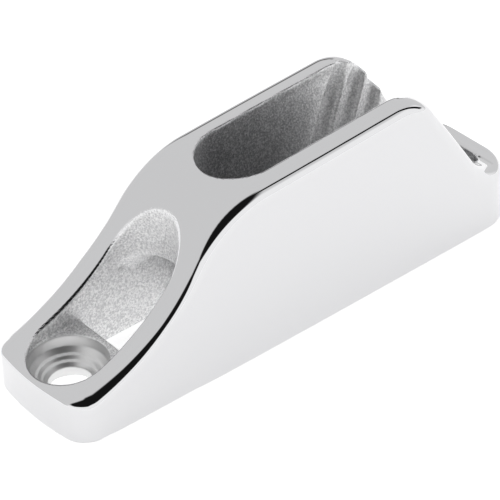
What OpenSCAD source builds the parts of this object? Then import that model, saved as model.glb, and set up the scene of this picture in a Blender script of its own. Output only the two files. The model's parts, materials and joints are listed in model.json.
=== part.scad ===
// Clam cleat with a closed fairlead: one polished stainless steel casting.
// X runs along the length, nose at -X. +Z is up and the origin is under the middle of the base.
// The rope comes in over the nose, under the bridge and into the slanted jaws at the rear.

/* [Body] */
// Overall length of the base
length = 80; // [79:0.5:82]
// Width of the base amidships
width = 21.6; // [21.2:0.1:22.4]
// Width of the base at the nose
nose_width = 19.9; // [19.4:0.1:20.4]
// Inward lean of the two long sides, in degrees
draft = 3.25; // [3:0.05:3.6]
// Corner radius of the nose, seen from above
nose_corner = 3.6; // [3:0.1:4]
// Corner radius of the rear end, seen from above
rear_corner = 6; // [5.5:0.1:7]

/* [Rim, seen from the side] */
// Height of the rim at the nose
nose_height = 6.4; // [6.2:0.1:6.5]
// Upward slope of the rim at the nose, in degrees
nose_slope = 5.5; // [4:0.5:7]
// Slope between the two bends of the S, in degrees
climb = 52; // [50:0.5:53]
// Radius of the lower, hollow bend
lower_bend = 30.4; // [29.5:0.1:31.5]
// Radius of the upper, round bend
upper_bend = 15.6; // [15:0.1:16.5]
// Slope of the long top, in degrees
top_slope = 3.5; // [3:0.1:4]
// Where the long top ends
hump_x = 17.2; // [17:0.1:17.6]
// Radius of the hump behind the long top
hump_bend = 7.8; // [7.4:0.1:8.2]
// Fall of the rear slope, in degrees
fall = 57.4; // [56:0.1:58.5]
// Radius of the hollow at the foot of the rear slope
foot_bend = 8.8; // [8.4:0.1:9.2]
// Height of the rear rim
rear_height = 8.1; // [8:0.1:8.6]

/* [Openings] */
// Width of the nose pocket and of the rope channel
slot_w = 11.8; // [11.8:0.1:12.4]
// Front and rear ends of the nose pocket
pocket_ends = [-38.8, -15.8];
// Front end of the rope channel
channel_front = -9.4; // [-9.9:0.1:-9.4]
// Height of the channel floor
floor_h = 4; // [3.5:0.1:4.5]
// Rear end of the rear pocket
rear_pocket_end = 36.9; // [36.6:0.1:37.1]
// Height of the underside of the bridge
tunnel_h = 12.5; // [12:0.1:13]
// Rear end of the opening through the base, under the bridge
base_opening_end = -8; // [-9:0.1:-7]

/* [Jaws] */
// Width between the ribs at the bottom of the V
jaw_foot_w = 2.8; // [2.6:0.1:3.2]
// Height of the bottom of the V
jaw_floor_h = 8.2; // [8:0.1:8.5]
// Height at which the V is as wide as the channel
jaw_top_h = 26.4; // [26.2:0.1:26.6]
// Where the first rib reaches that height
jaw_x = 17; // [16.7:0.1:17.3]
// Length of the funnel in front of the first rib
funnel_l = 4.5; // [4:0.1:5]
// Lean of the ribs from upright, in degrees
rib_lean = 33; // [32:0.5:34]
// Distance between two ribs, measured along the cleat
rib_pitch = 4.25; // [4.2:0.05:4.3]
// Number of round hollows in each jaw
hollows = 3; // [2:3]
// Radius of the round hollow between two ribs
hollow_r = 1.5; // [1.4:0.05:1.6]
// Depth of the hollow at the rim
hollow_top_depth = 0.2; // [0.1:0.05:0.3]
// Depth of the hollow at the bottom of the V
hollow_foot_depth = 1.4; // [1.2:0.05:1.45]

/* [Screw holes] */
// Where the nose screw stands
nose_hole_x = -33.5; // [-33.6:0.1:-33.4]
// Where the rear screw stands
rear_hole_x = 31; // [30.8:0.1:31.2]
// Height of the nose boss and of the rear seat
boss_h = 5.85; // [5.7:0.05:6]
// Rear edge of the nose boss
boss_end = -27.1; // [-27.3:0.1:-26.9]
// Diameter of the counterbore for the screw head
head_d = 10.8; // [10.6:0.1:11]
// Depth of the straight part of the counterbore
head_depth = 1.35; // [1.2:0.05:1.5]
// Diameter of the hole for the screw shank
shank_d = 6; // [5.8:0.1:6.2]
// Chamfer at the lower end of the hole
lower_chamfer = 1.1; // [0.8:0.1:1.2]

/* [Hidden] */
nose_x = -length / 2;
rear_x = length / 2;
slot_r = slot_w / 2;
over = 1;              // cutters run this far past the surface they cut
top_z = 30;            // above the highest point of the rim
bend_step = 6;         // degrees between two points of a bend
nose_block_h = nose_height + 1;
crown_y = 2.5;         // half width of the flat middle of the nose front
crown_back = 0.3;      // how far the nose corners stand back from its middle
side_x = [-25, -12, 5, 24];   // stations along the gently bowed sides
side_r = 5;            // radius of the side stations, wider than the draft takes away
first_rib = 1.15;      // the first rib is this much wider than the others
rear_pocket_corner = 2.8;
rear_pocket_x = 30.5;  // centre of the rear pocket's round front end
tunnel_corner = 2.5;
cone_depth = (head_d - shank_d) / 2;
jaw_h = jaw_top_h - jaw_floor_h;
jaw_foot_x = jaw_x - jaw_h * tan(rib_lean);

function last(list) = list[len(list) - 1];

// Points of a bend that starts at p with heading a; a positive turn goes left, a negative one right.
function bend(p, a, turn, r) =
    let (s = sign(turn), n = ceil(abs(turn) / bend_step))
    [for (i = [1:n]) let (b = a + turn * i / n)
        p + s * r * [sin(b) - sin(a), cos(a) - cos(b)]];

// The rim as a line in the XZ plane: S-shaped rise, long top, hump, rear slope and foot.
function rim_line() =
    let (
        start = [nose_x, nose_height],
        lower = bend(start, nose_slope, climb - nose_slope, lower_bend),
        climb_end = last(lower) + 2 * [cos(climb), sin(climb)],
        upper = bend(climb_end, climb, top_slope - climb, upper_bend),
        top_start = last(upper),
        hump_start = [hump_x, top_start[1] + (hump_x - top_start[0]) * tan(top_slope)],
        hump = bend(hump_start, top_slope, -top_slope - fall, hump_bend),
        foot_z = rear_height + foot_bend * (1 - cos(fall)),
        foot_start = [last(hump)[0] + (last(hump)[1] - foot_z) / tan(fall), foot_z]
    )
    concat([start], lower, [climb_end], upper, [hump_start], hump, [foot_start],
           bend(foot_start, -fall, fall, foot_bend), [[rear_x, rear_height]]);

// Half the width of the base at x: narrow at the nose, full from amidships to the rear.
function half_width(x) =
    let (t = min(1, (x - nose_x) / (length * 0.6)))
    nose_width / 2 + (width - nose_width) / 2 * sin(90 * t);

// A post whose radius shrinks with height as the draft asks.
module drafted_post(x, y, r, h) {
    translate([x, y, 0])
        cylinder(h = h, r1 = r, r2 = r - h * tan(draft), $fn = 32);
}

// The solid inside the four leaning sides, before the rim cuts it down.
module flanks() {
    hull() for (side = [-1, 1]) {
        translate([nose_x + nose_corner + crown_back, side * (half_width(nose_x) - nose_corner), 0])
            cylinder(h = nose_block_h, r1 = nose_corner,
                     r2 = nose_corner - nose_block_h * tan(draft), $fn = 32);
        translate([nose_x + nose_corner, side * crown_y, 0])
            cylinder(h = nose_block_h, r = nose_corner, $fn = 32);
        for (x = side_x) drafted_post(x, side * (half_width(x) - side_r), side_r, top_z);
        drafted_post(rear_x - rear_corner, side * (half_width(rear_x) - rear_corner),
                     rear_corner, top_z);
    }
}

module under_the_rim() {
    rotate([90, 0, 0]) linear_extrude(width + 2, center = true)
        polygon(concat(rim_line(), [[rear_x, 0], [nose_x, 0]]));
}

// An upright slot from x0 to x1 with round ends.
module slot(x0, x1, z0) {
    translate([0, 0, z0]) linear_extrude(top_z - z0) {
        for (x = [x0 + slot_r, x1 - slot_r]) translate([x, 0]) circle(r = slot_r, $fn = 64);
        translate([x0 + slot_r, -slot_r]) square([x1 - x0 - slot_w, slot_w]);
    }
}

// The nose pocket: closed by the boss in front, open through the base behind it and under the bridge.
module nose_pocket() {
    slot(pocket_ends[0], pocket_ends[1], boss_h);
    difference() {
        union() {
            slot(pocket_ends[0], pocket_ends[1], -over);
            intersection() {
                slot(pocket_ends[0], base_opening_end, -over);
                translate([nose_x, -width / 2, -2 * over])
                    cube([length, width, tunnel_h - tunnel_corner + 2 * over]);
            }
        }
        translate([nose_x, -width / 2, -2 * over])
            cube([boss_end - nose_x, width, top_z]);
    }
}

// The fairlead: a passage with a round roof that joins the nose pocket to the channel.
module fairlead_tunnel() {
    x0 = pocket_ends[1] - slot_r;
    x1 = channel_front + slot_r;
    r = tunnel_corner;
    translate([x0, 0, 0]) rotate([90, 0, 90]) linear_extrude(x1 - x0) {
        translate([-slot_r, floor_h]) square([slot_w, tunnel_h - floor_h - r]);
        translate([r - slot_r, floor_h]) square([slot_w - 2 * r, tunnel_h - floor_h]);
        for (side = [-1, 1]) translate([side * (slot_r - r), tunnel_h - r])
            circle(r = r, $fn = 48);
    }
}

// The V between the two jaws, as an outline in the YZ plane.
module jaw_outline() {
    foot = jaw_foot_w / 2;
    polygon([[-slot_r, top_z], [-slot_r, jaw_top_h], [-foot, jaw_floor_h],
             [foot, jaw_floor_h], [slot_r, jaw_top_h], [slot_r, top_z]]);
}

// A thin bar across the channel, one of the four corners of the funnel.
module funnel_corner(x, w, z) {
    translate([x, -w / 2, z]) cube([0.1, w, 0.1]);
}

// The rope channel: a straight slot, a leaning funnel that narrows it and the V of the jaws.
module rope_channel() {
    front = channel_front + slot_r;
    lean = tan(rib_lean);
    funnel_foot_x = jaw_foot_x - funnel_l;
    translate([0, 0, floor_h]) linear_extrude(top_z - floor_h) {
        translate([front, 0]) circle(r = slot_r, $fn = 64);
        translate([front, -slot_r]) square([funnel_foot_x + 0.1 - front, slot_w]);
    }
    hull() {
        funnel_corner(funnel_foot_x, slot_w, floor_h);
        funnel_corner(funnel_foot_x, slot_w, jaw_top_h);
        funnel_corner(jaw_x - funnel_l, slot_w, jaw_top_h);
        funnel_corner(jaw_foot_x, jaw_foot_w, jaw_floor_h);
        funnel_corner(jaw_x, slot_w, jaw_top_h);
    }
    translate([funnel_foot_x, -slot_r, jaw_top_h])
        cube([rear_hole_x - funnel_foot_x, slot_w, top_z - jaw_top_h]);
    translate([jaw_foot_x, 0, 0]) rotate([90, 0, 90])
        linear_extrude(rear_hole_x - jaw_foot_x) jaw_outline();
}

// The round hollows between the ribs of the jaw on one side.
module hollow_row(side) {
    top_y = slot_r + hollow_top_depth - hollow_r;
    foot_y = jaw_foot_w / 2 + hollow_foot_depth - hollow_r;
    spread = atan((top_y - foot_y) / jaw_h * cos(rib_lean));
    above = 6;
    below = jaw_h / cos(rib_lean) + 1;
    for (i = [0:hollows - 1])
        translate([jaw_x + first_rib + rib_pitch * (i + 0.5), side * top_y, jaw_top_h])
            rotate([side * spread, 180 + rib_lean, 0])
                translate([0, 0, -above])
                    cylinder(h = above + below, r = hollow_r, $fn = 32);
}

// The pocket round the rear screw, closed by the rear rim.
module rear_pocket() {
    x1 = rear_pocket_end - rear_pocket_corner;
    y1 = slot_r - rear_pocket_corner;
    translate([0, 0, boss_h]) linear_extrude(top_z - boss_h) {
        translate([rear_pocket_x, 0]) circle(r = slot_r, $fn = 64);
        translate([rear_pocket_x, -slot_r]) square([x1 - rear_pocket_x, slot_w]);
        translate([rear_pocket_x, -y1]) square([rear_pocket_end - rear_pocket_x, 2 * y1]);
        for (side = [-1, 1]) translate([x1, side * y1])
            circle(r = rear_pocket_corner, $fn = 48);
    }
}

// A screw hole: counterbore, cone, shank hole and lower chamfer.
module screw_hole(x) {
    cone_top = boss_h - head_depth;
    translate([x, 0, 0]) {
        translate([0, 0, cone_top]) cylinder(h = head_depth + over, d = head_d, $fn = 64);
        translate([0, 0, cone_top - cone_depth])
            cylinder(h = cone_depth, d1 = shank_d, d2 = head_d, $fn = 64);
        translate([0, 0, -over]) cylinder(h = boss_h, d = shank_d, $fn = 64);
        translate([0, 0, -over])
            cylinder(h = lower_chamfer + over, r1 = shank_d / 2 + lower_chamfer + over,
                     r2 = shank_d / 2, $fn = 64);
    }
}

module cleat_body() {
    color("gainsboro") difference() {
        intersection() {
            flanks();
            under_the_rim();
        }
        nose_pocket();
        fairlead_tunnel();
        rope_channel();
        rear_pocket();
        for (side = [-1, 1]) hollow_row(side);
        screw_hole(nose_hole_x);
        screw_hole(rear_hole_x);
    }
}

cleat_body();
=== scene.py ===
"""A mirror-polished stainless steel clam cleat with a closed fairlead, on a plain pale floor.

The visual body is one closed mesh. Its shape is a signed distance function made of the same features
as the CAD node, plus what the casting really has: filleted edges, rounded ribs and soft inner corners.
Lengths in this file are millimetres in the part's frame until they are turned into metres.
"""

import json
import math

import bpy
import numpy as np
from mathutils import Matrix, Vector


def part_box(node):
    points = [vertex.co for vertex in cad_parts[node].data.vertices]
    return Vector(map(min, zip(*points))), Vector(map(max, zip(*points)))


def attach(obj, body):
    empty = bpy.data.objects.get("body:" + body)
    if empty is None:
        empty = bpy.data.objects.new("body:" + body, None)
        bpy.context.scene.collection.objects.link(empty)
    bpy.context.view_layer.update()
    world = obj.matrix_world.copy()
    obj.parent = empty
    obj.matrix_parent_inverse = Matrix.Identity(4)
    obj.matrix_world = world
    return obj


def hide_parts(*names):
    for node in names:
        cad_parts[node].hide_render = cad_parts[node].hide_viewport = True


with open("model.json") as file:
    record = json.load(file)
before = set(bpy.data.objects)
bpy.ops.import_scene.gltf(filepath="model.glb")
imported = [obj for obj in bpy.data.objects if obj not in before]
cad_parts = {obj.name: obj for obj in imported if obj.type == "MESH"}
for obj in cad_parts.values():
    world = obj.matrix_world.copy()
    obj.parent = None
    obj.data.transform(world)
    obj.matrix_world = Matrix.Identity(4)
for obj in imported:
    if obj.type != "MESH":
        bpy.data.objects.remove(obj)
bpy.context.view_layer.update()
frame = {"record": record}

MM = 0.001
NODE = "cleat_body"
BODY_LOW, BODY_HIGH = (np.array(corner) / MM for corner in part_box(NODE))
NOSE_X, REAR_X = BODY_LOW[0], BODY_HIGH[0]
HALF_WIDTH = (BODY_HIGH[1] - BODY_LOW[1]) / 2
SCREWS = next(m for m in frame["record"]["mounts"] if m["name"] == "screw_holes")
SCREW_MIDDLE, SCREW_SPACING = SCREWS["pos_m"][0] / MM, SCREWS["dims"]["spacing_x_mm"]
SHANK_R = SCREWS["dims"]["hole_r_mm"]
REAR_SCREW_X = SCREW_MIDDLE + SCREW_SPACING / 2

# Plan of the base, and the lean of the sides and of the rear face
NOSE_HALF_WIDTH = 9.95
WIDEST_FROM = NOSE_X + 48
REAR_TAPER_FROM = 27
REAR_TAPER = 0.003
NOSE_CORNER, REAR_CORNER, REAR_DRAFT = 3.1, 6.5, math.radians(0.5)
NOSE_CROWN = 0.012
DRAFT = math.radians(3.25)

# The rim seen from the side: start height, then (turn or slope in degrees, radius or length)
NOSE_HEIGHT, NOSE_SLOPE = 6.4, 5.5
CLIMB, LOWER_BEND, CLIMB_LENGTH, UPPER_BEND = 52, 30.4, 2, 15.6
TOP_SLOPE, HUMP_X, HUMP_BEND = 3.5, 17.2, 7.8
FALL, FOOT_BEND, REAR_HEIGHT = 57.4, 8.8, 7.9

# Openings
SLOT_R = 5.9
POCKET_FRONT, POCKET_REAR = -38.8, -15.8
CHANNEL_FRONT, FLOOR_H = -9.4, 4
REAR_POCKET_FRONT, REAR_POCKET_END, REAR_POCKET_CORNER = 24.3, 36.9, 2.8
TUNNEL_H, TUNNEL_CORNER, BASE_OPENING_END = 12.5, 2.5, -8

# Jaws: the V between the ribs, the ribs and the round hollows between them
JAW_TOP_Z, JAW_TOP, JAW_FOOT, JAW_FLOOR = 26.8, 6.3, 1.4, 8.2
JAW_X, FUNNEL_LENGTH = 17.3, 4.5
RIB_PITCH, RIB_LEAN, FIRST_RIB, HOLLOWS = 4.25, math.radians(33), 1.15, 3
HOLLOW_R, HOLLOW_DEPTH, HOLLOW_TOP_Z, HOLLOW_GROWTH = 1.5, 1.2, 26.6, 0.25

# Screw seats
BOSS_H, BOSS_END = 5.85, -27.1
HEAD_R, HEAD_DEPTH, LOWER_CHAMFER = 5.4, 1.35, 1.1
CONE_STEPS, STEP_DEPTH, STEP_WIDTH = (4.5, 3.7), 0.3, 0.4

# From the S on, the outer part of the rim falls off towards the flanks in an arch
ARCH_R, ARCH_WIDTH, ARCH_FROM, ARCH_FULL = 2.7, 2.2, -25, -13

# Fillets; the first two change along the cleat and are pairs of x and radius
RIM_FILLETS = ((-39.5, 0.5), (-37, 2.1), (-31, 1.45), (-24, 1.0))
LIP_FILLETS = ((-31, 0.8), (-22, 0.6))
BASE_FILLET, TUNNEL_FILLET = 0.3, 1.2
RIB_FILLET, INNER_FILLET, SEAT_FILLET, FLOOR_EDGE_FILLET = 0.25, 1.2, 0.15, 0.4
WALL_MARGIN, BRIDGE_FADE, ROOF_FADE = 0.3, 2, 1.5

# Cells of the net: fine round the nose pocket and low down, coarse elsewhere; reach of the normals
FINE_CELL, COARSE_CELL = 0.22, 0.37
FINE_X, FINE_Z = (-40.5, -13), (-0.5, 6.9)
NORMAL_STEP = 0.18
SETTLE_SHARE, LEAST_SLOPE = 0.6, 0.25


def both(a, b, radius):
    """The space inside both a and b, with a convex fillet where they meet."""
    return np.minimum(-radius, np.maximum(a, b)) + np.hypot(
        np.maximum(a + radius, 0), np.maximum(b + radius, 0))


def either(a, b, radius):
    """The space inside a or b, with a concave fillet where they meet."""
    return -both(-a, -b, radius)


def without(solid, cut, radius):
    return both(solid, -cut, radius)


def blend(low, high, t):
    return low + (high - low) * t


def smooth(t):
    t = np.clip(t, 0, 1)
    return t * t * (3 - 2 * t)


def rim_curve():
    """Points and slopes of the rim in the XZ plane, walked from the nose to the rear in small steps."""
    points, slopes = [np.array([NOSE_X - 5, NOSE_HEIGHT - 5 * math.tan(math.radians(NOSE_SLOPE))])], []

    def run(length, slope):
        points.append(points[-1] + length * np.array([math.cos(slope), math.sin(slope)]))
        slopes.append(slope)

    def turn(start, end, radius, steps=90):
        for i in range(steps):
            middle = start + (end - start) * (i + 0.5) / steps
            run(2 * radius * math.sin(abs(end - start) / steps / 2), middle)

    nose, climb, top, fall = (math.radians(a) for a in (NOSE_SLOPE, CLIMB, TOP_SLOPE, -FALL))
    run(5 / math.cos(nose), nose)
    turn(nose, climb, LOWER_BEND)
    run(CLIMB_LENGTH, climb)
    turn(climb, top, UPPER_BEND)
    run((HUMP_X - points[-1][0]) / math.cos(top), top)
    turn(top, fall, HUMP_BEND)
    foot_top = REAR_HEIGHT + FOOT_BEND * (1 - math.cos(fall))
    run((points[-1][1] - foot_top) / -math.sin(fall), fall)
    turn(fall, 0, FOOT_BEND)
    run(REAR_X + 5 - points[-1][0], 0)
    points = np.array(points)
    middles = (points[1:] + points[:-1]) / 2
    return points, middles[:, 0], np.array(slopes)


RIM_POINTS, RIM_X, RIM_SLOPES = rim_curve()


def arch_drop(from_top):
    """How far the arched rim lies below its highest line, at a distance to the side of that line."""
    return ARCH_R - np.sqrt(ARCH_R ** 2 - np.clip(from_top, 0, 0.95 * ARCH_R) ** 2)


def beyond_flank(x, y, z):
    """How far outside the bowed, leaning long sides a point is."""
    along = np.clip((x - NOSE_X) / (WIDEST_FROM - NOSE_X), 0, 1)
    half_width = blend(NOSE_HALF_WIDTH, HALF_WIDTH, np.sin(along * math.pi / 2))
    half_width = half_width - REAR_TAPER * np.maximum(x - REAR_TAPER_FROM, 0) ** 2
    return np.abs(y) - half_width + z * math.tan(DRAFT)


def under_rim(x, y, z):
    slope = np.interp(x, RIM_X, RIM_SLOPES)
    level = (z - np.interp(x, RIM_POINTS[:, 0], RIM_POINTS[:, 1])) * np.cos(slope)
    arch = arch_drop(beyond_flank(x, y, z) + ARCH_WIDTH)
    return level + arch * smooth((x - ARCH_FROM) / (ARCH_FULL - ARCH_FROM))


def flanks(x, y, z):
    """Inside the two long sides and the rounded ends."""
    side = beyond_flank(x, y, z)
    nose = NOSE_X + NOSE_CROWN * y * y - x
    rear = x - REAR_X + z * math.tan(REAR_DRAFT)
    return both(both(side, nose, NOSE_CORNER), rear, REAR_CORNER)


def outside(x, y, z):
    """The casting before anything is cut out of it, with its rounded rim."""
    return both(flanks(x, y, z), under_rim(x, y, z), np.interp(x, *np.transpose(RIM_FILLETS)))


def capsule(x, y, x0, x1, radius):
    """Inside an upright slot with round ends at x0 and x1."""
    middle, half = (x0 + x1) / 2, (x1 - x0) / 2 - radius
    return np.hypot(np.maximum(np.abs(x - middle) - half, 0), y) - radius


def jaw_wall(z):
    """Half the width of the V between the ribs at height z."""
    return JAW_FOOT + (z - JAW_FLOOR) * (JAW_TOP - JAW_FOOT) / (JAW_TOP_Z - JAW_FLOOR)


def rib_shift(z):
    return (z - JAW_TOP_Z) * math.tan(RIB_LEAN)


def channel(x, y, z):
    """The straight channel, the funnel that narrows it and the V of the jaws."""
    end = JAW_X + rib_shift(np.maximum(z, JAW_FLOOR))
    closing = np.clip((x - end) / FUNNEL_LENGTH + 1, 0, 1)
    wall = blend(SLOT_R, np.clip(jaw_wall(z), JAW_FOOT, SLOT_R), closing)
    front = CHANNEL_FRONT + SLOT_R
    round_end = np.hypot(np.minimum(x - front, 0), y) - wall
    foot_end = JAW_X + rib_shift(JAW_FLOOR)
    floor = blend(FLOOR_H, JAW_FLOOR, np.clip((x - foot_end) / FUNNEL_LENGTH + 1, 0, 1)) - z
    return np.maximum(both(round_end, floor, INNER_FILLET), x - REAR_SCREW_X)


def hollow(i, x, y, z):
    """The i-th round hollow of both jaws, which runs out towards the rim."""
    middle = JAW_X + FIRST_RIB + RIB_PITCH * (i + 0.5) + rib_shift(z)
    lean = (JAW_TOP - JAW_FOOT) / (JAW_TOP_Z - JAW_FLOOR)
    depth = np.clip((HOLLOW_TOP_Z - z) * HOLLOW_GROWTH, -1, HOLLOW_DEPTH)
    across = (np.abs(y) - jaw_wall(z) + HOLLOW_R - depth) / math.hypot(1, lean)
    outline = np.hypot((x - middle) * math.cos(RIB_LEAN), across) - HOLLOW_R
    return np.maximum(outline, JAW_FLOOR - z)


def screw_seat(x, y, z, screw_x):
    """Counterbore, stepped cone, shank hole and lower chamfer of one screw hole."""
    r = np.hypot(x - screw_x, y)
    cone_foot = BOSS_H - HEAD_DEPTH - (HEAD_R - SHANK_R)
    steps = sum(STEP_DEPTH * smooth((r - at) / STEP_WIDTH + 0.5) for at in CONE_STEPS)
    cone = (r - SHANK_R - (z - cone_foot) - steps + STEP_DEPTH) * math.sqrt(0.5)
    chamfer = (r - SHANK_R - (LOWER_CHAMFER - z)) * math.sqrt(0.5)
    return np.minimum(np.minimum(np.maximum(cone, r - HEAD_R), r - SHANK_R), chamfer)


def rear_pocket(x, y, z):
    front = REAR_POCKET_FRONT + SLOT_R
    corner = np.where(x < front, SLOT_R, REAR_POCKET_CORNER)
    over_x = np.where(x < front, front - x, x - (REAR_POCKET_END - REAR_POCKET_CORNER))
    over_y = np.abs(y) - (SLOT_R - corner)
    outline = np.hypot(np.maximum(over_x, 0), np.maximum(over_y, 0)) - corner
    outline = outline + np.minimum(np.maximum(over_x, over_y), 0)
    return both(outline, BOSS_H - z, INNER_FILLET)


def nose_pocket(x, y, z):
    """Open through the base behind the boss, and as far as the base opening under the bridge."""
    boss = both(z - BOSS_H, x - BOSS_END, SEAT_FILLET)
    above = both(capsule(x, y, POCKET_FRONT, POCKET_REAR, SLOT_R), -boss, SEAT_FILLET)
    below = np.maximum(capsule(x, y, POCKET_FRONT, BASE_OPENING_END, SLOT_R), z - (TUNNEL_H - TUNNEL_CORNER))
    return np.minimum(above, np.maximum(below, BOSS_END - x))


def tunnel(x, y, z):
    """The closed fairlead under the bridge, as wide as the slots on both sides of it."""
    over_y = np.abs(y) - (SLOT_R - TUNNEL_CORNER)
    over_z = z - (TUNNEL_H - TUNNEL_CORNER)
    roof = np.hypot(np.maximum(over_y, 0), np.maximum(over_z, 0)) - TUNNEL_CORNER
    roof = roof + np.minimum(np.maximum(over_y, over_z), 0)
    return np.maximum(np.maximum(roof, FLOOR_H - z), np.maximum(BOSS_END - x, x))


def openings(x, y, z):
    """Everything cast or cut out of the body, joined without a seam where two walls run on."""
    side = np.abs(y)
    floor_edge = FLOOR_EDGE_FILLET * smooth(SLOT_R - WALL_MARGIN - side)
    space = either(nose_pocket(x, y, z), channel(x, y, z), floor_edge)
    under_bridge = np.minimum(x - POCKET_REAR + SLOT_R, CHANNEL_FRONT + SLOT_R - x)
    roof_edge = TUNNEL_FILLET * smooth(under_bridge / BRIDGE_FADE)
    roof_edge = roof_edge * smooth((z - TUNNEL_H + TUNNEL_CORNER) / ROOF_FADE)
    space = either(space, tunnel(x, y, z), roof_edge)
    for i in range(HOLLOWS):
        space = either(space, hollow(i, x, y, z), RIB_FILLET)
    return np.minimum(space, rear_pocket(x, y, z))


def cleat(x, y, z):
    """Signed distance to the surface of the whole casting, negative inside the steel."""
    lip = np.interp(x, *np.transpose(LIP_FILLETS))
    solid = without(both(outside(x, y, z), -z, BASE_FILLET), openings(x, y, z), lip)
    for side in (-1, 1):
        screw_x = SCREW_MIDDLE + side * SCREW_SPACING / 2
        solid = without(solid, screw_seat(x, y, z, screw_x), SEAT_FILLET)
    return solid


def gradient(points, step=1e-3):
    """Direction in which the distance grows at each point, not normalised."""
    slopes = []
    for axis in range(3):
        shift = np.zeros(3)
        shift[axis] = step
        ahead, behind = points + shift, points - shift
        slopes.append((cleat(*ahead.T) - cleat(*behind.T)) / (2 * step))
    return np.stack(slopes, axis=1)


def grid_lines(low, high, fine):
    """Places of the grid planes along one axis, close together between the two ends of fine."""
    start, end = np.clip(fine, low, high)
    parts = []
    for first, last, cell in ((low, start, COARSE_CELL), (start, end, FINE_CELL), (end, high, COARSE_CELL)):
        count = math.ceil((last - first) / cell)
        parts.append(first + (last - first) * np.arange(count) / max(count, 1))
    return np.concatenate(parts + [[high]])


def surface_cells():
    """Surface nets: a vertex in each grid cell that the surface crosses, a quad for each crossed edge."""
    low, high = BODY_LOW - 2 * COARSE_CELL, BODY_HIGH + 2 * COARSE_CELL
    axes = [grid_lines(low[0], high[0], FINE_X), grid_lines(low[1], high[1], (low[1], low[1])),
            grid_lines(low[2], high[2], FINE_Z)]
    counts = np.array([len(axis) for axis in axes])
    grid = np.stack(np.meshgrid(*axes, indexing="ij"), axis=-1)
    values = cleat(*np.moveaxis(grid, -1, 0))
    inside = values < 0

    shape = counts - 1
    total, crossings = np.zeros((*shape, 3)), np.zeros(shape)
    quads = []
    for axis in range(3):
        first = tuple(slice(None, -1) if a == axis else slice(None) for a in range(3))
        second = tuple(slice(1, None) if a == axis else slice(None) for a in range(3))
        crossed = inside[first] != inside[second]
        at = np.argwhere(crossed)
        v0, v1 = values[first][crossed], values[second][crossed]
        share = (v0 / (v0 - v1))[:, None]
        point = grid[first][crossed] * (1 - share) + grid[second][crossed] * share
        u, v = (axis + 1) % 3, (axis + 2) % 3
        corners = []
        for du, dv in ((1, 1), (0, 1), (0, 0), (1, 0)):
            cell = at.copy()
            cell[:, u] -= du
            cell[:, v] -= dv
            np.add.at(total, tuple(cell.T), point)
            np.add.at(crossings, tuple(cell.T), 1)
            corners.append(np.ravel_multi_index(tuple(cell.T), shape))
        quad = np.stack(corners, axis=1)
        leaving = inside[first][crossed]
        quads.append(np.where(leaving[:, None], quad, quad[:, ::-1]))
    quads = np.concatenate(quads)
    used, faces = np.unique(quads, return_inverse=True)
    faces = faces.reshape(quads.shape)
    vertices = (total.reshape(-1, 3)[used]) / crossings.reshape(-1)[used][:, None]
    return vertices, faces


def settle(points, faces, rounds=6):
    """Evens out the net along the surface and puts every vertex exactly on it."""
    edges = np.concatenate([faces[:, [0, 1]], faces[:, [1, 2]], faces[:, [2, 3]], faces[:, [3, 0]]])
    degree = np.zeros(len(points))
    np.add.at(degree, edges.ravel(), 1)
    for i in range(rounds):
        if i:
            around = np.zeros_like(points)
            np.add.at(around, edges[:, 0], points[edges[:, 1]])
            np.add.at(around, edges[:, 1], points[edges[:, 0]])
            shift = around / degree[:, None] - points
            normal = gradient(points)
            normal /= np.linalg.norm(normal, axis=1)[:, None]
            shift -= normal * (shift * normal).sum(1)[:, None]
            points = points + SETTLE_SHARE * shift
        for _ in range(2):
            slope = gradient(points)
            step = cleat(*points.T) / np.maximum((slope ** 2).sum(1), LEAST_SLOPE)
            points = points - slope * np.clip(step, -COARSE_CELL, COARSE_CELL)[:, None]
    return points


def finish_masks(points):
    """How much every vertex has of cast grain, turned rings, ground underside and painted shade in the
    channel and the rear pocket.
    """
    x, y, z = points.T
    cast = smooth((-outside(x, y, z) - POLISH_REACH) / POLISH_FADE)
    seats = np.minimum.reduce([
        np.abs(screw_seat(x, y, z, SCREW_MIDDLE + side * SCREW_SPACING / 2)) for side in (-1, 1)])
    turned = smooth(1.5 - seats / SEAT_FADE)
    ground = smooth(1 - z / BASE_FILLET)
    # Painted shade: the channel's cast walls are darkened, less towards the jaws and near the floor
    scale = smooth((x - SHADE_FROM) / SHADE_START) * (1 - SHADE_LOSS * smooth((x - SHADE_TO) / SHADE_FADE))
    scale = scale * blend(SHADE_LOW, 1, smooth((z - FLOOR_H - 1) / SHADE_RISE))
    # Painted shade: the low cast walls of the rear pocket are darkened as well
    rear = smooth((x - REAR_POCKET_FRONT) / 2) * smooth(REAR_HEIGHT + 1 - z)
    scale = np.maximum(scale, rear)
    return {"cast": cast * (1 - turned) * (1 - ground), "turned": turned * (1 - ground), "ground": ground,
            "painted_shade": scale}


def build_body():
    points, faces = surface_cells()
    points = settle(points, faces)
    normals = gradient(points, NORMAL_STEP)
    normals /= np.linalg.norm(normals, axis=1)[:, None]
    mesh = bpy.data.meshes.new("cleat_casting")
    mesh.from_pydata((points * MM).tolist(), [], faces.tolist())
    mesh.validate()
    mesh.shade_smooth()
    mesh.normals_split_custom_set_from_vertices(normals.tolist())
    for name, values in finish_masks(points).items():
        mesh.attributes.new(name, "FLOAT", "POINT").data.foreach_set("value", values.astype(np.float32))
    body = bpy.data.objects.new("cleat_casting", mesh)
    bpy.context.scene.collection.objects.link(body)
    return body


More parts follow.
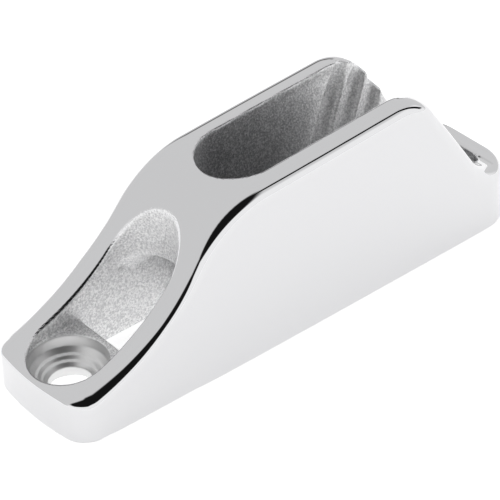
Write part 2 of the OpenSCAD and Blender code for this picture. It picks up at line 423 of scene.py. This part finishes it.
class Nodes:
    """A short way to write a node tree."""

    def __init__(self, tree):
        self.tree = tree
        tree.nodes.clear()

    def add(self, kind, **inputs):
        node = self.tree.nodes.new(kind)
        for name, value in inputs.items():
            self.set(node, name, value)
        return node

    def set(self, node, name, value):
        socket = node.inputs[name if name in node.inputs else name.replace("_", " ")]
        if isinstance(value, bpy.types.NodeSocket):
            self.tree.links.new(value, socket)
        else:
            socket.default_value = value

    def math(self, operation, *values):
        node = self.tree.nodes.new("ShaderNodeMath")
        node.operation = operation
        for socket, value in zip(node.inputs, values):
            if isinstance(value, bpy.types.NodeSocket):
                self.tree.links.new(value, socket)
            else:
                socket.default_value = value
        return node.outputs[0]

    def mix(self, factor, a, b, kind="FLOAT"):
        node = self.tree.nodes.new("ShaderNodeMix")
        node.data_type = kind
        sockets = {"FLOAT": (2, 3, 0), "RGBA": (6, 7, 2)}[kind]
        for index, value in zip((0, sockets[0], sockets[1]), (factor, a, b)):
            if isinstance(value, bpy.types.NodeSocket):
                self.tree.links.new(value, node.inputs[index])
            else:
                node.inputs[index].default_value = value
        return node.outputs[sockets[2]]

    def ramp(self, value, low, high):
        node = self.tree.nodes.new("ShaderNodeMapRange")
        node.interpolation_type = "SMOOTHSTEP"
        self.tree.links.new(value, node.inputs["Value"])
        node.inputs["From Min"].default_value = low
        node.inputs["From Max"].default_value = high
        return node.outputs["Result"]

    def noise(self, vector, scale, detail=2.0, roughness=0.5):
        node = self.add("ShaderNodeTexNoise", Scale=scale, Detail=detail, Roughness=roughness)
        self.tree.links.new(vector, node.inputs["Vector"])
        return node.outputs["Fac"]

    def mask(self, name):
        node = self.tree.nodes.new("ShaderNodeAttribute")
        node.attribute_name = name
        return node.outputs["Fac"]


def steel():
    """Polished steel that turns into as-cast, turned or ground steel where the masks say so, with painted
    shade darkening the cast steel in the channel and the rear pocket.
    """
    material = bpy.data.materials.new("polished_steel")
    material.use_nodes = True
    n = Nodes(material.node_tree)
    place = n.add("ShaderNodeTexCoord").outputs["Object"]
    cast, turned, ground = (n.mask(name) for name in ("cast", "turned", "ground"))

    grain = n.noise(place, GRAIN_NOISE, 3, 0.6)
    lumps = n.noise(place, LUMP_NOISE, 3, 0.5)
    haze = n.noise(place, HAZE_NOISE, 3, 0.5)

    speckle = n.ramp(grain, *SPECKLE)
    rough_color = n.mix(speckle, CAST_DARK, CAST_LIGHT, "RGBA")
    # Painted shade: this mask darkens the cast colour in the channel and the rear pocket
    scale = n.math("MULTIPLY", n.mask("painted_shade"), n.math("MULTIPLY_ADD", speckle, -0.5, 1.0))
    rough_color = n.mix(scale, rough_color, PAINTED_SHADE_COLOR, "RGBA")
    color = n.mix(cast, POLISHED_COLOR, rough_color, "RGBA")
    color = n.mix(turned, color, TURNED_COLOR, "RGBA")
    color = n.mix(ground, color, GROUND_COLOR, "RGBA")
    smooth_part = n.math("MULTIPLY_ADD", haze, POLISH_HAZE, POLISH_ROUGHNESS)
    rough_part = n.math("MULTIPLY_ADD", grain, CAST_SPREAD, CAST_ROUGHNESS)
    roughness = n.mix(cast, smooth_part, rough_part)
    roughness = n.mix(turned, roughness, TURNED_ROUGHNESS)
    roughness = n.mix(ground, roughness, GROUND_ROUGHNESS)

    pits = n.math("MULTIPLY", lumps, LUMP_HEIGHT)
    height = n.math("MULTIPLY", cast, n.math("ADD", n.math("MULTIPLY", grain, GRAIN_HEIGHT), pits))
    bump = n.add("ShaderNodeBump", Height=height, Distance=MM, Strength=1.0)
    surface = n.add("ShaderNodeBsdfPrincipled", Base_Color=color, Metallic=1.0, Roughness=roughness,
                    Normal=bump.outputs["Normal"])
    n.add("ShaderNodeOutputMaterial", Surface=surface.outputs[0])
    return material


def build_floor():
    bpy.ops.mesh.primitive_plane_add(size=FLOOR_SIZE, location=(0, 0, -0.05 * MM))
    floor = bpy.context.object
    floor.name = "floor"
    material = bpy.data.materials.new("pale_floor")
    material.use_nodes = True
    n = Nodes(material.node_tree)
    sheet = n.add("ShaderNodeBsdfPrincipled", Base_Color=(0.8, 0.8, 0.8, 1), Roughness=0.9,
                  Emission_Color=(1, 1, 1, 1), Emission_Strength=FLOOR_GLOW)
    n.add("ShaderNodeOutputMaterial", Surface=sheet.outputs[0])
    floor.data.materials.append(material)


def build_world():
    """Pale walls, a bright card low in front, a dim gap low behind and a dark area above the camera."""
    world = bpy.data.worlds.new("studio")
    bpy.context.scene.world = world
    world.use_nodes = True
    n = Nodes(world.node_tree)
    direction = n.add("ShaderNodeTexCoord").outputs["Generated"]
    height = n.add("ShaderNodeSeparateXYZ", Vector=direction).outputs["Z"]

    def facing(toward):
        node = n.add("ShaderNodeVectorMath")
        node.operation = "DOT_PRODUCT"
        n.tree.links.new(direction, node.inputs[0])
        node.inputs[1].default_value = Vector(toward).normalized()
        return node.outputs["Value"]

    light = n.mix(n.math("MULTIPLY", n.ramp(facing(FRONT), *CARD_SIDES), n.ramp(height, *CARD_TOP)),
                  WALL_LIGHT, CARD_LIGHT)
    gap = n.math("MULTIPLY", n.ramp(height, *GAP_BOTTOM), n.ramp(height, *GAP_TOP))
    gap = n.math("MULTIPLY", gap, n.ramp(facing(GAP_TOWARD), *GAP_SIDES))
    light = n.mix(gap, light, GAP_LIGHT)
    edge = n.math("ABSOLUTE", facing(DARK_EDGE_AXIS))
    sides = n.ramp(facing(DARK_EDGE_TOWARD), *DARK_EDGE_SIDES)
    edge = n.math("MULTIPLY", n.ramp(edge, *DARK_EDGE_WIDTH), sides)
    edge = n.math("MULTIPLY", edge, n.ramp(height, *DARK_EDGE_BOTTOM))
    dark = n.math("MULTIPLY", n.ramp(facing(DARK_TOWARD), *DARK_SIZE), n.ramp(height, *DARK_BOTTOM))
    dark = n.math("MAXIMUM", dark, edge)
    light = n.mix(dark, light, DARK_LIGHT)
    tint = n.add("ShaderNodeCombineColor", Red=light, Green=light, Blue=light).outputs[0]
    sky = n.add("ShaderNodeBackground", Color=tint, Strength=1.0)
    n.add("ShaderNodeOutputWorld", Surface=sky.outputs[0])


def camera_forward():
    return Vector((-math.sin(AZIMUTH) * math.cos(ELEVATION), math.cos(AZIMUTH) * math.cos(ELEVATION),
                   -math.sin(ELEVATION)))


def build_camera():
    camera = bpy.data.objects.new("camera", bpy.data.cameras.new("camera"))
    camera.data.sensor_width = 36
    camera.data.lens = LENS
    camera.data.clip_start, camera.data.clip_end = 0.01, 20
    forward = camera_forward()
    level = Vector((math.cos(AZIMUTH), math.sin(AZIMUTH), 0))
    upright = level.cross(forward)
    right = level * math.cos(ROLL) + upright * math.sin(ROLL)
    up = right.cross(forward)
    place = Matrix((right, up, -forward)).transposed().to_4x4()
    place.translation = Vector(AIM) * MM - forward * CAMERA_DISTANCE * MM
    camera.matrix_world = place
    bpy.context.scene.collection.objects.link(camera)
    bpy.context.scene.camera = camera


POLISH_REACH, POLISH_FADE, SEAT_FADE = 0.15, 0.3, 0.1
POLISHED_COLOR = (0.68, 0.68, 0.69, 1)
CAST_DARK, CAST_LIGHT = (0.6, 0.6, 0.61, 1), (1, 1, 1, 1)

# Painted shade on the cast colour in the channel, where the casting lies in shade: less of it towards the
# jaws and near the floor
PAINTED_SHADE_COLOR = (0.34, 0.34, 0.35, 1)
SHADE_FROM, SHADE_START, SHADE_TO, SHADE_FADE, SHADE_LOSS = -12, 3, 2, 16, 0.75
SHADE_LOW, SHADE_RISE = 0.45, 6

# Noise per metre, and what it does
GRAIN_NOISE, LUMP_NOISE, HAZE_NOISE, SPECKLE = 3800, 900, 90, (0.32, 0.68)
GRAIN_HEIGHT, LUMP_HEIGHT = 0.06, 0.08
POLISH_ROUGHNESS, POLISH_HAZE, CAST_ROUGHNESS, CAST_SPREAD = 0.03, 0.02, 0.42, 0.2
TURNED_ROUGHNESS, GROUND_ROUGHNESS = 0.42, 0.4
TURNED_COLOR = (0.8, 0.8, 0.8, 1)
GROUND_COLOR = (0.6, 0.6, 0.6, 1)

AZIMUTH, ELEVATION, ROLL = (math.radians(a) for a in (-38.46, 36.6, -2.51))
CAMERA_DISTANCE, AIM, LENS = 336, (-2.22, 0, 8.27), 176.1
FLOOR_SIZE, FLOOR_GLOW = 6, 0.72
WALL_LIGHT, CARD_LIGHT, DARK_LIGHT, GAP_LIGHT = 0.83, 1.2, 0.01, 0.1

# The bright card stands low in front, the dim gap low behind, the dark area above the camera's side, and
# a thin dark strip runs beside it. Pairs are where each of them fades in.
FRONT, CARD_SIDES, CARD_TOP = (0, -1, 0), (0.0, 0.3), (0.5, 0.3)
GAP_TOWARD, GAP_SIDES = (0.56, 0.83, 0), (0.905, 0.94)
GAP_BOTTOM, GAP_TOP = (0.15, 0.3), (0.6, 0.42)
DARK_TOWARD = (-0.26, -0.70, 0.67)
DARK_SIZE = (math.cos(math.radians(42)), math.cos(math.radians(31)))
DARK_BOTTOM = (0.32, 0.37)
DARK_EDGE_AXIS, DARK_EDGE_WIDTH = (0.195, 0.791, 0.579), (0.11, 0.075)
DARK_EDGE_TOWARD, DARK_EDGE_SIDES = (0.8, -0.5, 0.35), (0.6, 0.75)
DARK_EDGE_BOTTOM = (0.07, 0.13)

build_camera()
build_world()
build_floor()

body = build_body()
body.data.materials.append(steel())
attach(body, "root")
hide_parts(NODE)

view = bpy.context.scene.view_settings
view.view_transform = "Standard"
